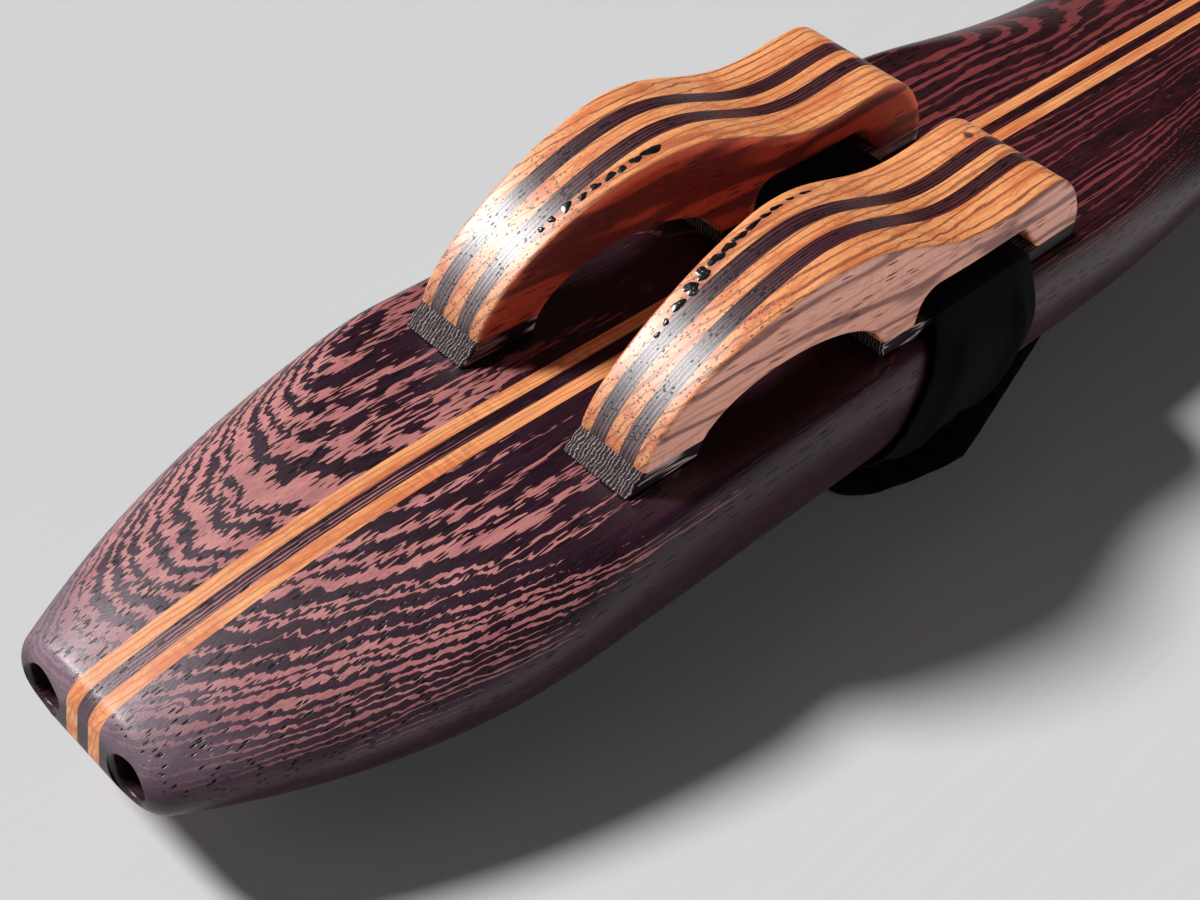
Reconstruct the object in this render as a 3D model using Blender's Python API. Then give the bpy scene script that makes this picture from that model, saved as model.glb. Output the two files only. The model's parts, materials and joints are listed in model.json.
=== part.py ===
"""A wooden double flute: two pipes in one laminated body, a bird on each pipe, and a strap.

Lengths are in metres. In the flute's own axes X runs from the mouth end to the foot, Y to the
left and Z up, with Z = 0 on the axis of the bores. The empty flute_frame carries these axes,
so that the flute lies on the ground plane with its middle over the origin.
"""

import math

import bmesh
import bpy
import numpy as np
from mathutils import Matrix, Vector

# Fits
GLUE_GAP = 0.0003
OVERCUT = 0.002
REST_CLEARANCE = 0.0001

# Body laminations
CENTRE_STRIP = 0.0024
ACCENT_STRIP = 0.0025
STRIP_MARGIN = 0.0013

# Bores and the walls round them
LENGTH = 0.600
PIPE_SPACING = 0.0352
BORE_DIAMETER = 0.018
ROOF_WALL = 0.0053
FLOOR_WALL = 0.0063
SIDE_WALL = 0.0037
WIDEST_RISE = 0.0037
BELLY_FLAT = 0.016
BELLY_POWER = 2.2

# Mouth end
MOUTH_HOLE_DIAMETER = 0.0070
LIP_ABOVE = 0.0021
LIP_BELOW = 0.0016
LIP_SIDE = 0.0028
LIP_INNER = 0.0024
NOSE_LENGTH = 0.068
NOSE_POWER = 2.05
KEEL_LENGTH = 0.052
KEEL_POWER = 1.3
END_LEAN = 0.1
END_ROUND = 0.001

# Nest under the birds, and the waist behind them
NEST_SETBACK = 0.0079
NEST_RISE = 0.050
NEST_MARGIN = 0.0003
SHOULDER = 0.005
WAIST_SETBACK = 0.0045
WAIST_LENGTH = 0.069

# Air way
CHAMBER_START = 0.040
CHAMBER_OVERLAP = 0.006
STOP_MARGIN = 0.0015
EXIT_LENGTH = 0.009
EXIT_WIDTH = 0.0095
FLUE_LENGTH = 0.026
FLUE_WIDTH = 0.0102
FLUE_DEPTH = 0.0009
SOUND_SETBACK = 0.0005
SOUND_LENGTH = 0.005
SOUND_WIDTH = 0.0115

# Finger holes of the right pipe
FINGER_HOLES = 6
HOLES_PER_HAND = 3
FINGER_HOLE_DIAMETER = 0.008
FINGER_STEP = 0.027
HAND_GAP = 0.007
FOOT_TO_HOLE = 0.116

# Birds, seen from the side
SOLE_THICKNESS = 0.0032
TOE_LEAN = 0.0032
TOE_FOOT = 0.0151
WINDOW_LENGTH = 0.0405
WINDOW_OPENING = 0.0078
ARCH_WOOD = 0.0138
HUMP_OFFSET = 0.0058
POST = 0.0073
SLOT_ROOF = 0.0275
SLOT_LEAN = 0.0068
SLOT_OPENING = 0.0069
SLOT_ROUND = 0.0035
SLOT_WOOD = 0.0061
DIP_OFFSET = 0.0163
CREST_RISE = 0.0013
TAIL_ROUND = 0.0154
LEG = 0.0134
BIRD_POWER = 1.65

# Birds, seen from above
TOE_WIDTH = 0.0133
TAIL_WIDTH = 0.0228
FLARE_LENGTH = 0.078
LAMELLA = 0.0029
BIRD_TRAVEL = 0.002

# Strap
STRAP_THICKNESS = 0.0016
STRAP_WIDTH = 0.032
STRAP_FLARE_DROP = 0.012
STRAP_SLANT = 0.008
STRAP_SLANT_DROP = 0.025
STRAP_TAIL_THICKNESS = 0.0012
STRAP_TAIL_FRONT = 0.026
STRAP_TAIL_REAR = 0.042

# Facets
CORNER_STEPS = 6
BELLY_STEPS = 7
ROUND_STEPS = 3
NOSE_STEPS = 11
WAIST_STEPS = 6
BORE_SIDES = 24
HOLE_SIDES = 16
FRONT_STEPS = 10
WAVE_STEPS = 8
REAR_STEPS = 7
ARCH_STEPS = 14
SLOT_ROUND_STEPS = 4
PLAN_STEPS = 10
STRAP_TAIL_STEPS = 6
SHARP_ANGLE = math.radians(35)

# Sizes that follow from those above
BORE_RADIUS = BORE_DIAMETER / 2
MOUTH_HOLE_RADIUS = MOUTH_HOLE_DIAMETER / 2
PIPE_OFFSET = PIPE_SPACING / 2
STRIPS_HALF = CENTRE_STRIP / 2 + ACCENT_STRIP
STRIP_FLAT = STRIPS_HALF + STRIP_MARGIN
MOUTH_HOLE_OFFSET = STRIPS_HALF + LIP_INNER + MOUTH_HOLE_RADIUS
MOUTH_HALF = MOUTH_HOLE_OFFSET + MOUTH_HOLE_RADIUS + LIP_SIDE
MOUTH_TOP = MOUTH_HOLE_RADIUS + LIP_ABOVE
MOUTH_DEPTH = MOUTH_HOLE_RADIUS + LIP_BELOW
TOP = BORE_RADIUS + ROOF_WALL
BELLY_DEPTH = BORE_RADIUS + FLOOR_WALL
REST_DEPTH = BELLY_DEPTH + GLUE_GAP + STRAP_THICKNESS + REST_CLEARANCE
BARREL_HALF = PIPE_OFFSET + BORE_RADIUS + SIDE_WALL
NEST_FLAT = PIPE_OFFSET + TAIL_WIDTH / 2 + NEST_MARGIN
NEST_HALF = NEST_FLAT + SHOULDER

WINDOW_HEIGHT = SOLE_THICKNESS + WINDOW_OPENING
HUMP_AT = TOE_FOOT + WINDOW_LENGTH / 2 + HUMP_OFFSET
HUMP_HEIGHT = WINDOW_HEIGHT + ARCH_WOOD
SLOT_AT = TOE_FOOT + WINDOW_LENGTH + POST
SLOT_HEIGHT = SOLE_THICKNESS + SLOT_OPENING
DIP_AT = SLOT_AT + DIP_OFFSET
DIP_HEIGHT = SLOT_HEIGHT + SLOT_WOOD
LEG_AT = SLOT_AT + SLOT_ROOF + SLOT_LEAN
BIRD_LENGTH = LEG_AT + LEG
CREST_AT = BIRD_LENGTH - TAIL_ROUND
CREST_HEIGHT = DIP_HEIGHT + CREST_RISE

BIRD_AT = NOSE_LENGTH + NEST_SETBACK
SOUND_AT = BIRD_AT + BIRD_LENGTH + SOUND_SETBACK
SOUND_END = SOUND_AT + SOUND_LENGTH
EXIT_END = SOUND_AT - FLUE_LENGTH
EXIT_AT = EXIT_END - EXIT_LENGTH
CHAMBER_END = EXIT_END + STOP_MARGIN
BORE_START = SOUND_AT - STOP_MARGIN
WAIST_START = SOUND_END + WAIST_SETBACK
WAIST_END = WAIST_START + WAIST_LENGTH
SOLE_LEVEL = TOP + GLUE_GAP
STRAP_LEVEL = SOLE_LEVEL + SOLE_THICKNESS
OUTSIDE = LENGTH

# Finishes: colour, roughness
DARK_WOOD = ((0.075, 0.032, 0.034), 0.45)
ORANGE_WOOD = ((0.560, 0.220, 0.070), 0.42)
BLACK_FABRIC = ((0.012, 0.012, 0.014), 0.90)


def smooth(share):
    """Ease from 0 to 1 with level ends."""
    share = np.clip(share, 0.0, 1.0)
    return share * share * (3.0 - 2.0 * share)


def add_empty(name, place, parent=None):
    """Return an empty that carries other objects."""
    empty = bpy.data.objects.new(name, None)
    empty.location = place
    empty.parent = parent
    bpy.context.scene.collection.objects.link(empty)
    return empty


def add_object(name, mesh, parent):
    """Return a linked object for a mesh, carried by an empty."""
    thing = bpy.data.objects.new(name, mesh)
    thing.parent = parent
    bpy.context.scene.collection.objects.link(thing)
    return thing


def add_piece(name, mesh, parent, finish):
    """Return a piece of the flute with its own material."""
    piece = add_object(name, mesh, parent)
    colour, roughness = finish
    material = bpy.data.materials.new(name)
    material.use_nodes = True
    shader = material.node_tree.nodes["Principled BSDF"]
    shader.inputs["Base Color"].default_value = (*colour, 1.0)
    shader.inputs["Roughness"].default_value = roughness
    shader.inputs["Metallic"].default_value = 0.0
    mesh.materials.append(material)
    return piece


def add_cutter(name, mesh, parent):
    """Return a shape that only cuts other shapes."""
    cutter = add_object(name, mesh, parent)
    cutter.hide_render = True
    cutter.display_type = "WIRE"
    return cutter


def cut(piece, operation, cutters):
    """Add one Boolean modifier for each cutter."""
    for cutter in cutters:
        modifier = piece.modifiers.new(cutter.name, "BOOLEAN")
        modifier.operation = operation
        modifier.solver = "EXACT"
        modifier.object = cutter


def finish_mesh(name, bm):
    """Turn a bmesh into a mesh with outward faces and smooth rounds."""
    bmesh.ops.recalc_face_normals(bm, faces=bm.faces)
    mesh = bpy.data.meshes.new(name)
    bm.to_mesh(mesh)
    bm.free()
    mesh.shade_smooth()
    mesh.set_sharp_from_angle(angle=SHARP_ANGLE)
    return mesh


def prism(name, outline, low, high, axis):
    """Extrude an outline from low to high, along Y (outline in X, Z) or Z (outline in X, Y)."""
    def at(point, level):
        first, second = point
        return (first, level, second) if axis == "Y" else (first, second, level)

    bm = bmesh.new()
    base = bm.faces.new([bm.verts.new(at(point, low)) for point in outline])
    swept = bmesh.ops.extrude_face_region(bm, geom=[base])
    moved = [item for item in swept["geom"] if isinstance(item, bmesh.types.BMVert)]
    bmesh.ops.translate(bm, verts=moved, vec=at((0.0, 0.0), high - low))
    return finish_mesh(name, bm)


def box(name, low, high):
    """Return a block between two corners."""
    corners = [(low[0], low[1]), (high[0], low[1]), (high[0], high[1]), (low[0], high[1])]
    return prism(name, corners, low[2], high[2], "Z")


def rod(name, radius, sides, start, end):
    """Return a round bar from one point to another, along X or along Z."""
    start, end = Vector(start), Vector(end)
    span = end - start
    turn = span.to_track_quat("Z", "Y").to_matrix().to_4x4()
    bm = bmesh.new()
    bmesh.ops.create_cone(
        bm, cap_ends=True, segments=sides, radius1=radius, radius2=radius,
        depth=span.length, matrix=Matrix.Translation((start + end) / 2) @ turn,
    )
    return finish_mesh(name, bm)


def loft(name, rings, closed):
    """Skin a stack of equal rings, with flat ends or joined end to end."""
    count, around = rings.shape[:2]
    bm = bmesh.new()
    verts = [[bm.verts.new(point) for point in ring] for ring in rings]
    for row in range(count if closed else count - 1):
        this, other = verts[row], verts[(row + 1) % count]
        for k in range(around):
            after = (k + 1) % around
            bm.faces.new((this[k], this[after], other[after], other[k]))
    if not closed:
        bm.faces.new(verts[0])
        bm.faces.new(verts[-1])
    return finish_mesh(name, bm)


def body_ring(x, inset=0.0):
    """Return the body's outline at x: a flat top with elliptic shoulders over a round belly."""
    nose = max(0.0, 1.0 - x / NOSE_LENGTH) ** NOSE_POWER
    keel = max(0.0, 1.0 - x / KEEL_LENGTH) ** KEEL_POWER
    nest = smooth((x - BIRD_AT + NEST_RISE) / NEST_RISE)
    waist = smooth((x - WAIST_START) / WAIST_LENGTH)
    half = NEST_HALF - (NEST_HALF - MOUTH_HALF) * nose - (NEST_HALF - BARREL_HALF) * waist - inset
    top = TOP - (TOP - MOUTH_TOP) * nose - inset
    depth = BELLY_DEPTH - (BELLY_DEPTH - MOUTH_DEPTH) * keel + (REST_DEPTH - BELLY_DEPTH) * waist - inset
    flat = STRIP_FLAT + (NEST_FLAT - STRIP_FLAT) * nest * (1.0 - waist) - inset
    widest = WIDEST_RISE * smooth(x / BIRD_AT)

    turn = np.linspace(0.0, math.pi / 2, CORNER_STEPS + 1)
    shoulder = np.stack([flat + (half - flat) * np.cos(turn), widest + (top - widest) * np.sin(turn)], 1)
    turn = np.linspace(0.0, math.pi / 2, BELLY_STEPS + 1)
    across, down = np.cos(turn) ** (2 / BELLY_POWER), np.sin(turn) ** (2 / BELLY_POWER)
    belly_half = BELLY_FLAT / 2 - inset
    belly = np.stack([belly_half + (half - belly_half) * across, widest - (widest + depth) * down], 1)
    left = np.concatenate([belly[::-1], shoulder[1:]])
    right = left[::-1] * (-1.0, 1.0)
    outline = np.concatenate([left, right])
    lean = END_LEAN * (outline[:, 1] + MOUTH_DEPTH) * max(0.0, 1.0 - x / NOSE_LENGTH)
    return np.column_stack([x + lean, outline])


def body_form():
    """Return the whole outside of the body, from the rounded mouth end to the rounded foot."""
    turn = np.linspace(0.0, math.pi / 2, ROUND_STEPS + 1)
    ends = END_ROUND * (1.0 - np.cos(turn))
    insets = END_ROUND * (1.0 - np.sin(turn))
    nose = np.linspace(END_ROUND, BIRD_AT, NOSE_STEPS + 1)[1:]
    waist = np.linspace(WAIST_START, WAIST_END, WAIST_STEPS + 1)
    rings = [body_ring(x, inset) for x, inset in zip(ends, insets)]
    rings += [body_ring(x) for x in (*nose, *waist)]
    rings += [body_ring(LENGTH - x, inset) for x, inset in zip(ends[::-1], insets[::-1])]
    return loft("body_form", np.array(rings), closed=False)


def pipe_hollows(side, sign, frame):
    """Return a pipe's cutters: those of both halves, and those of the top half alone."""
    y = sign * PIPE_OFFSET
    mouth_y = sign * MOUTH_HOLE_OFFSET
    channel_end = CHAMBER_START + CHAMBER_OVERLAP
    both = {
        "mouth_hole": rod("mouth_hole", MOUTH_HOLE_RADIUS, HOLE_SIDES,
                          (-OVERCUT, mouth_y, 0), (channel_end, mouth_y, 0)),
        "air_chamber": rod("air_chamber", BORE_RADIUS, BORE_SIDES,
                           (CHAMBER_START, y, 0), (CHAMBER_END, y, 0)),
        "sound_bore": rod("sound_bore", BORE_RADIUS, BORE_SIDES,
                          (BORE_START, y, 0), (LENGTH + OVERCUT, y, 0)),
    }
    above = TOP + OVERCUT
    inside = BORE_RADIUS / 2
    top_only = {
        "exit_hole": box("exit_hole", (EXIT_AT, y - EXIT_WIDTH / 2, inside),
                         (EXIT_END, y + EXIT_WIDTH / 2, above)),
        "flue": box("flue", (EXIT_END - STOP_MARGIN, y - FLUE_WIDTH / 2, TOP - FLUE_DEPTH),
                    (SOUND_AT + STOP_MARGIN, y + FLUE_WIDTH / 2, above)),
        "sound_hole": box("sound_hole", (SOUND_AT, y - SOUND_WIDTH / 2, inside),
                          (SOUND_END, y + SOUND_WIDTH / 2, above)),
    }
    if side == "right":
        for k in range(FINGER_HOLES):
            x = LENGTH - FOOT_TO_HOLE - k * FINGER_STEP - (k // HOLES_PER_HAND) * HAND_GAP
            top_only[f"finger_hole_{k + 1}"] = rod("finger_hole", FINGER_HOLE_DIAMETER / 2, HOLE_SIDES,
                                                   (x, y, inside), (x, y, above))
    return [
        [add_cutter(f"{side}_{name}_cutter", mesh, frame) for name, mesh in group.items()]
        for group in (both, top_only)
    ]


def add_body(frame):
    """Build the body's blocks and strips, each sawn along the bore axis into two halves."""
    form = body_form()
    glue = GLUE_GAP / 2
    lanes = {
        "centre_strip": (-CENTRE_STRIP / 2 + glue, CENTRE_STRIP / 2 - glue, DARK_WOOD),
        "left_accent": (CENTRE_STRIP / 2 + glue, STRIPS_HALF - glue, ORANGE_WOOD),
        "right_accent": (-STRIPS_HALF + glue, -CENTRE_STRIP / 2 - glue, ORANGE_WOOD),
        "left_pipe": (STRIPS_HALF + glue, OUTSIDE, DARK_WOOD),
        "right_pipe": (-OUTSIDE, -STRIPS_HALF - glue, DARK_WOOD),
    }
    hollows = {
        "left_pipe": pipe_hollows("left", 1, frame),
        "right_pipe": pipe_hollows("right", -1, frame),
    }
    for half, low, high in (("top", glue, OUTSIDE), ("bottom", -OUTSIDE, -glue)):
        for lane, (right_edge, left_edge, wood) in lanes.items():
            name = f"{lane}_{half}"
            blank = box(f"{name}_blank", (-OUTSIDE, right_edge, low), (2 * OUTSIDE, left_edge, high))
            piece = add_piece(name, form.copy(), frame, wood)
            cut(piece, "INTERSECT", [add_cutter(f"{name}_blank", blank, frame)])
            both, top_only = hollows.get(lane, ([], []))
            cut(piece, "DIFFERENCE", both + top_only if half == "top" else both)


def bird_outline():
    """Return a bird's side view: toe, round front, hump, dip, crest and round tail."""
    power = 2 / BIRD_POWER
    turn = np.linspace(0.0, math.pi / 2, FRONT_STEPS + 1)
    front = np.stack([HUMP_AT - (HUMP_AT - TOE_LEAN) * np.cos(turn) ** power,
                      SOLE_THICKNESS + (HUMP_HEIGHT - SOLE_THICKNESS) * np.sin(turn) ** power], 1)
    share = np.linspace(0.0, 1.0, WAVE_STEPS + 1)
    fall = np.stack([HUMP_AT + (DIP_AT - HUMP_AT) * share,
                     DIP_HEIGHT + (HUMP_HEIGHT - DIP_HEIGHT) * (1 + np.cos(math.pi * share)) / 2], 1)
    share = np.linspace(0.0, 1.0, WAVE_STEPS // 2 + 1)
    rise = np.stack([DIP_AT + (CREST_AT - DIP_AT) * share,
                     DIP_HEIGHT + (CREST_HEIGHT - DIP_HEIGHT) * (1 - np.cos(math.pi * share)) / 2], 1)
    turn = np.linspace(0.0, math.pi / 2, REAR_STEPS + 1)
    rear = np.stack([CREST_AT + (BIRD_LENGTH - CREST_AT) * np.sin(turn) ** power,
                     CREST_HEIGHT * np.cos(turn) ** power], 1)
    return np.concatenate([[(0.0, 0.0)], front, fall[1:], rise[1:], rear[1:]])


def window_outline():
    """Return the arch through the sole and the planks, open below."""
    middle = TOE_FOOT + WINDOW_LENGTH / 2
    turn = np.linspace(0.0, math.pi, ARCH_STEPS + 1)
    arch = np.stack([middle - WINDOW_LENGTH / 2 * np.cos(turn), WINDOW_HEIGHT * np.sin(turn)], 1)
    below = [(middle + WINDOW_LENGTH / 2, -OVERCUT), (middle - WINDOW_LENGTH / 2, -OVERCUT)]
    return np.concatenate([arch, below])


def slot_rear(level):
    """Return where the leg's sloping inner face is, at a height over the sole's underside."""
    return LEG_AT - SLOT_LEAN * (level - SOLE_THICKNESS) / SLOT_OPENING


def slot_outline():
    """Return the strap slot: rounded at its front corner, with the leg's slope behind."""
    floor = SOLE_THICKNESS - OVERCUT
    turn = np.linspace(math.pi, math.pi / 2, SLOT_ROUND_STEPS + 1)
    corner = np.stack([SLOT_AT + SLOT_ROUND * (1 + np.cos(turn)),
                       SLOT_HEIGHT + SLOT_ROUND * (np.sin(turn) - 1)], 1)
    behind = [(slot_rear(SLOT_HEIGHT), SLOT_HEIGHT), (slot_rear(floor), floor)]
    return np.concatenate([[(SLOT_AT, floor)], corner, behind])


def bird_half(x):
    """Return half the bird's width at x, flaring from the toe to the tail."""
    return (TOE_WIDTH + (TAIL_WIDTH - TOE_WIDTH) * smooth(x / FLARE_LENGTH)) / 2


def plan(start, end, near, far):
    """Return an outline from above between two edges, each a function of x."""
    x = np.linspace(start, end, PLAN_STEPS + 1)
    there = np.stack([x, near(x)], 1)
    back = np.stack([x, far(x)], 1)[::-1]
    return np.concatenate([there, back])


def add_bird(side, sign, flute):
    """Build one bird: five lamellae over a sole that the arch parts in two."""
    frame = add_empty(f"{side}_bird", (BIRD_AT, sign * PIPE_OFFSET, SOLE_LEVEL), flute)
    form = prism("bird_form", bird_outline(), -TAIL_WIDTH, TAIL_WIDTH, "Y")
    window = add_cutter(f"{side}_window_cutter",
                        prism("window", window_outline(), -2 * TAIL_WIDTH, 2 * TAIL_WIDTH, "Y"), frame)
    slot = add_cutter(f"{side}_slot_cutter",
                      prism("slot", slot_outline(), -2 * TAIL_WIDTH, 2 * TAIL_WIDTH, "Y"), frame)
    front, rear = -OVERCUT, BIRD_LENGTH + OVERCUT
    middle = TOE_FOOT + WINDOW_LENGTH / 2
    glue = GLUE_GAP / 2
    edges = [LAMELLA / 2 - glue, LAMELLA / 2 + glue, 1.5 * LAMELLA - glue, 1.5 * LAMELLA + glue]

    def level_edge(y):
        return lambda x: np.full_like(x, y)

    def outer_edge(way):
        return lambda x: way * bird_half(x)

    above = (SOLE_THICKNESS + GLUE_GAP, HUMP_HEIGHT + OVERCUT)
    below = (-OVERCUT, SOLE_THICKNESS)
    planks = {"core": (front, rear, level_edge(-edges[0]), level_edge(edges[0]), above, ORANGE_WOOD)}
    for place, way in (("outer", sign), ("inner", -sign)):
        planks[f"{place}_stripe"] = (front, rear, level_edge(way * edges[1]), level_edge(way * edges[2]),
                                     above, DARK_WOOD)
        planks[f"{place}_plank"] = (front, rear, level_edge(way * edges[3]), outer_edge(way),
                                    above, ORANGE_WOOD)
    planks["toe_sole"] = (front, middle, outer_edge(-1), outer_edge(1), below, DARK_WOOD)
    planks["rear_sole"] = (middle, rear, outer_edge(-1), outer_edge(1), below, DARK_WOOD)

    for part, (start, end, near, far, (low, high), wood) in planks.items():
        name = f"{side}_bird_{part}"
        blank = prism(f"{name}_blank", plan(start, end, near, far), low, high, "Z")
        piece = add_piece(name, form.copy(), frame, wood)
        cut(piece, "INTERSECT", [add_cutter(f"{name}_blank", blank, frame)])
        cut(piece, "DIFFERENCE", [window] if part.endswith("sole") else [window, slot])


def convex_hull(points):
    """Return the corners of the hull of points in a plane, anticlockwise."""
    ordered = sorted(set(map(tuple, points)))

    def chain(run):
        kept = []
        for y, z in run:
            while len(kept) > 1:
                (y0, z0), (y1, z1) = kept[-2:]
                if (y1 - y0) * (z - z0) - (z1 - z0) * (y - y0) > 0:
                    break
                kept.pop()
            kept.append((y, z))
        return kept[:-1]

    return np.array(chain(ordered) + chain(ordered[::-1]))


def moved_out(corners, distance):
    """Return an anticlockwise outline with every side moved outwards by a distance."""
    sides = np.roll(corners, -1, axis=0) - corners
    normals = np.stack([sides[:, 1], -sides[:, 0]], 1)
    normals /= np.linalg.norm(normals, axis=1, keepdims=True)
    before = np.roll(normals, 1, axis=0)
    spread = 1.0 + np.sum(normals * before, axis=1, keepdims=True)
    return corners + distance * (normals + before) / spread


def strap_path():
    """Return the strap's inner and outer outline, taut round the body and over both soles."""
    strap_x = BIRD_AT + SLOT_AT
    body = body_ring(strap_x)[:, 1:]
    sole_edge = PIPE_OFFSET + TAIL_WIDTH / 2 + NEST_MARGIN
    soles = [(sole_edge, STRAP_LEVEL), (-sole_edge, STRAP_LEVEL)]
    hull = convex_hull(np.concatenate([body, soles]))
    return moved_out(hull, GLUE_GAP), moved_out(hull, GLUE_GAP + STRAP_THICKNESS)


def strap_middle_and_neck():
    """Return where the strap crosses the slots, and its width there, clear of the birds' travel."""
    rear = slot_rear(SOLE_THICKNESS + GLUE_GAP + STRAP_THICKNESS)
    clear = BIRD_TRAVEL + GLUE_GAP
    return BIRD_AT + (SLOT_AT + rear) / 2, rear - SLOT_AT - 2 * clear


def add_strap(frame):
    """Build the strap, narrow in the slots and wider and slanting round the body."""
    inner, outer = strap_path()
    middle, neck = strap_middle_and_neck()
    drop = STRAP_LEVEL - inner[:, 1]
    half = (neck + (STRAP_WIDTH - neck) * smooth(drop / STRAP_FLARE_DROP)) / 2
    centre = middle - STRAP_SLANT * smooth(drop / STRAP_SLANT_DROP)
    rings = np.stack([
        np.column_stack([centre - half, inner]),
        np.column_stack([centre - half, outer]),
        np.column_stack([centre + half, outer]),
        np.column_stack([centre + half, inner]),
    ], axis=1)
    add_piece("strap", loft("strap", rings, closed=True), frame, BLACK_FABRIC)

    floor = -REST_DEPTH
    level = floor + STRAP_TAIL_THICKNESS
    under = outer[(outer[:, 1] < 0) & (outer[:, 0] < 0)]
    under = under[np.argsort(under[:, 1])]
    tucked = np.interp(level + GLUE_GAP, under[:, 1], under[:, 0])
    reach = tucked - outer[:, 0].min()
    turn = np.linspace(0.0, math.pi / 2, STRAP_TAIL_STEPS + 1)
    front = np.stack([middle - STRAP_TAIL_FRONT * np.cos(turn), tucked - reach * np.sin(turn)], 1)
    rear = np.stack([middle + STRAP_TAIL_REAR * np.cos(turn), tucked - reach * np.sin(turn)], 1)
    outline = np.concatenate([front, rear[-2::-1]])
    add_piece("strap_tail", prism("strap_tail", outline, floor, level, "Z"), frame, BLACK_FABRIC)


def main():
    """Clear the scene and build the flute."""
    for thing in list(bpy.data.objects):
        bpy.data.objects.remove(thing, do_unlink=True)
    flute = add_empty("flute_frame", (-LENGTH / 2, 0.0, REST_DEPTH))
    add_body(flute)
    add_bird("left", 1, flute)
    add_bird("right", -1, flute)
    add_strap(flute)


main()
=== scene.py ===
"""Looks of a wooden double flute: smooth wood, striped laminations, resin pockets and a soft strap.

Shapes are worked out in the flute's own axes, in metres: X from the mouth end to the foot, Y to
the left, Z up from the axis of the bores. new_mesh() then sets them in the frame's axes. Materials
use the same axes, in millimetres.
"""

import json
import math

import bmesh
import bpy
import numpy as np
from mathutils import Matrix

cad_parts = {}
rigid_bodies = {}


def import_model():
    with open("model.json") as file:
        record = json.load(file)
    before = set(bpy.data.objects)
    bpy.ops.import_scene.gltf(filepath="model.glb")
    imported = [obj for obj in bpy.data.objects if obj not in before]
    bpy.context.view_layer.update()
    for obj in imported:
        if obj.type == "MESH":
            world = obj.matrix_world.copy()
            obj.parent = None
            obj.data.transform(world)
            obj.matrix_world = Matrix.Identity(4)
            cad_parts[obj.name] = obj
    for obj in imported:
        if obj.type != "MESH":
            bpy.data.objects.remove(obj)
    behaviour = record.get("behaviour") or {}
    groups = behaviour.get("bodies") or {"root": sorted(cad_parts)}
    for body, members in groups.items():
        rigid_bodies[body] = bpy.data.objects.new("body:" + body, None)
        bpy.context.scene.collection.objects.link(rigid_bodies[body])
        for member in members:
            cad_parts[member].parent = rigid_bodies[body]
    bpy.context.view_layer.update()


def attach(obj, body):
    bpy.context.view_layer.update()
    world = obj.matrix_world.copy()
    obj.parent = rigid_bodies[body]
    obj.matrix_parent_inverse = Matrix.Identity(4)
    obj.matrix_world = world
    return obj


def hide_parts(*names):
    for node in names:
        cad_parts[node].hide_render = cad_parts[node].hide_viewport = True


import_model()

# Body
LENGTH = 0.600
PIPE_OFFSET = 0.0176
BORE_RADIUS = 0.009
CENTRE_HALF = 0.0012
STRIPS_HALF = 0.0037
STRIP_EDGES = {"centre_strip": (-CENTRE_HALF, CENTRE_HALF), "left_accent": (CENTRE_HALF, STRIPS_HALF),
               "right_accent": (-STRIPS_HALF, -CENTRE_HALF)}
STRIP_FLAT = 0.0050
NEST_FLAT = 0.0293
NEST_HALF = 0.0343
BARREL_HALF = 0.0303
MOUTH_HALF = 0.0159
TOP = 0.0143
MOUTH_TOP = 0.0056
BELLY_DEPTH = 0.0153
MOUTH_DEPTH = 0.0051
REST_DEPTH = 0.0173
BELLY_FLAT_HALF = 0.008
BELLY_POWER = 2.2
WIDEST_RISE = 0.0037
WIDEST_START = 0.0003
NOSE_LENGTH = 0.068
NOSE_POWER = 2.05
KEEL_LENGTH = 0.052
KEEL_POWER = 1.3
NEST_RISE = 0.050
END_LEAN = 0.1
MOUTH_ROUND = 0.0026
FOOT_ROUND = 0.0012
WAIST_START = 0.1965
WAIST_LENGTH = 0.069

# Grid of the body: rows along each stretch, points round each part of a section
ROUND_ROWS = 9
NOSE_ROWS = 64
NEST_ROWS = 24
WAIST_ROWS = 26
BARREL_ROWS = 40
TOP_POINTS = 14
SHOULDER_POINTS = 28
SIDE_POINTS = 7
BELLY_POINTS = 30
BELLY_FLAT_POINTS = 6

# Hollows, as (start, end) along the body; those in the roof as (start, end, width)
MOUTH_HOLE_RADIUS = 0.0035
MOUTH_HOLE_OFFSET = 0.0096
MOUTH_HOLE_FLARE = 0.0007
MOUTH_HOLE_LIP = 0.0006
MOUTH_HOLE_ROWS = 7
CHAMBER = (0.040, 0.1625)
CHANNEL_END = 0.046
SOUND_BORE_START = 0.1855
SOUND_BORE_SIDES = 64
EXIT_HOLE = (0.152, 0.161, 0.0095)
FLUE = (0.1595, 0.1885, 0.0102)
SOUND_HOLE = (0.187, 0.192, 0.0115)
FLUE_DEPTH = 0.0009
FINGER_HOLE_RADIUS = 0.004
FIRST_FINGER_HOLE = 0.484
FINGER_STEP = 0.027
HAND_GAP = 0.007
FINGER_HOLES = 6
HOLES_PER_HAND = 3
CUT_OVER = 0.004

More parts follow.
